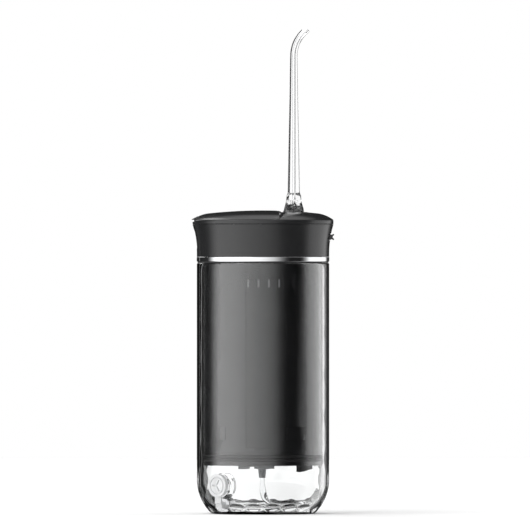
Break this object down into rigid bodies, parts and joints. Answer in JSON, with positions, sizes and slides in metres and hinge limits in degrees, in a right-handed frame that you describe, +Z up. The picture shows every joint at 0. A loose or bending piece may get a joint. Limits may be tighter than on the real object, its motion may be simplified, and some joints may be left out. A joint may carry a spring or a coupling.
{
  "type": "water flosser",
  "caption": "Pocket oral irrigator: clear telescoping water tank, dark body and flared head with a flip lid, slim bent clear nozzle.",
  "frame": {"origin": "centre of the tank's flat base, which it stands on", "axes": "+Z up along the tank's axis; -Y is the front with the control strip; the nozzle stands off towards +X and bends that way"},
  "size_m": [0.0646, 0.064, 0.2208],
  "materials": {
    "clear_tank": "clear moulded plastic, polished",
    "clear_nozzle": "clear moulded plastic, polished",
    "clear_silicone": "clear soft silicone, satin",
    "chrome_trim": "bright plated plastic, mirror finish",
    "dark_head": "satin, fine grain",
    "dark_gloss": "polished",
    "light_guide": "smoked, polished",
    "black_rubber": "matte",
    "grey_plastic": "moulded, satin",
    "white_acetal": "moulded, low gloss",
    "steel": "turned and drawn",
    "circuit_board": "lacquered laminate",
    "cell_wrap": "shrink film, satin"
  },
  "bodies": {
    "tank": {"water_tank": "clear_tank", "strap_anchor": "clear_silicone", "suction_hose": "clear_silicone", "hose_weight": "steel"},
    "main_unit": {"body_sleeve": "dark_gloss", "indicator_panel": "dark_gloss", "light_pipes": "light_guide", "indicator_board": "circuit_board", "base_cap": "dark_gloss", "body_seals": "black_rubber", "base_screws": "steel", "inlet_fitting": "grey_plastic", "air_valve": "black_rubber", "rim_gasket": "black_rubber", "trim_ring": "chrome_trim", "head_housing": "dark_head", "top_deck": "dark_head", "deck_screws": "steel", "lid_hinge_pins": "steel", "storage_well": "grey_plastic", "nozzle_port": "grey_plastic", "port_seal": "black_rubber", "release_spring": "steel", "control_board": "circuit_board", "charge_port": "steel", "gear_axle": "steel", "motor_frame": "grey_plastic", "motor_can": "steel", "motor_screws": "steel", "pump_cylinder": "grey_plastic", "valve_balls": "steel", "valve_springs": "steel", "inlet_duct": "grey_plastic", "pressure_tube": "grey_plastic", "battery_cell": "cell_wrap", "battery_cradle": "grey_plastic"},
    "plug": {"fill_plug": "clear_silicone"},
    "lid": {"flip_lid": "dark_head"},
    "turret": {"nozzle_turret": "dark_head"},
    "spray_tip": {"nozzle": "clear_nozzle"},
    "release": {"release_button": "dark_head", "release_latch": "steel"},
    "power": {"power_button": "dark_head"},
    "mode": {"mode_button": "dark_head"},
    "port_flap": {"port_cover": "black_rubber"},
    "rotor": {"motor_pinion": "white_acetal"},
    "crank": {"crank_gear": "white_acetal"},
    "pump_rod": {"piston": "white_acetal", "piston_seal": "black_rubber"}
  },
  "joints": [
    {"name": "telescope", "type": "slide", "parent": "tank", "child": "main_unit", "axis": [0, 0, 1], "range_m": [0, 0.07], "deforming": ["suction_hose"]},
    {"name": "plug_hinge", "type": "hinge", "parent": "tank", "child": "plug", "pos_m": [-0.02005, -0.02364, 0.0054], "axis": [0.7627, -0.6468, 0], "range_deg": [0, 95]},
    {"name": "lid_hinge", "type": "hinge", "parent": "main_unit", "child": "lid", "pos_m": [0.0074, 0, 0.13585], "axis": [0, 1, 0], "range_deg": [0, 90]},
    {"name": "nozzle_turn", "type": "hinge", "parent": "main_unit", "child": "turret", "pos_m": [0.01395, 0, 0.13], "axis": [0, 0, 1], "continuous": true},
    {"name": "nozzle_pull", "type": "slide", "parent": "turret", "child": "spray_tip", "axis": [0, 0, 1], "range_m": [0, 0.015]},
    {"name": "release_press", "type": "slide", "parent": "main_unit", "child": "release", "axis": [-1, 0, 0], "range_m": [0, 0.0008], "stiffness_N_per_m": 1200, "springref_m": -0.0008, "deforming": ["release_spring"]},
    {"name": "power_press", "type": "slide", "parent": "main_unit", "child": "power", "axis": [1, 0, 0], "range_m": [0, 0.0005], "stiffness_N_per_m": 1500, "springref_m": -0.0005},
    {"name": "mode_press", "type": "slide", "parent": "main_unit", "child": "mode", "axis": [1, 0, 0], "range_m": [0, 0.0005], "stiffness_N_per_m": 1500, "springref_m": -0.0005},
    {"name": "cover_hinge", "type": "hinge", "parent": "main_unit", "child": "port_flap", "pos_m": [-0.0075, 0.0289, 0.1242], "axis": [0, 0, 1], "range_deg": [0, 90]},
    {"name": "crank_spin", "type": "hinge", "parent": "main_unit", "child": "crank", "pos_m": [-0.007, 0, 0.0334], "axis": [0, 0, 1], "continuous": true},
    {"name": "motor_spin", "type": "hinge", "parent": "main_unit", "child": "rotor", "pos_m": [0.00264, -0.01149, 0.0334], "axis": [0, 0, 1], "continuous": true},
    {"name": "piston_stroke", "type": "slide", "parent": "main_unit", "child": "pump_rod", "axis": [1, 0, 0], "range_m": [-0.0025, 0.0025]}
  ],
  "couplings": [
    {"joint": "motor_spin", "follows": "crank_spin", "ratio": -4}
  ]
}
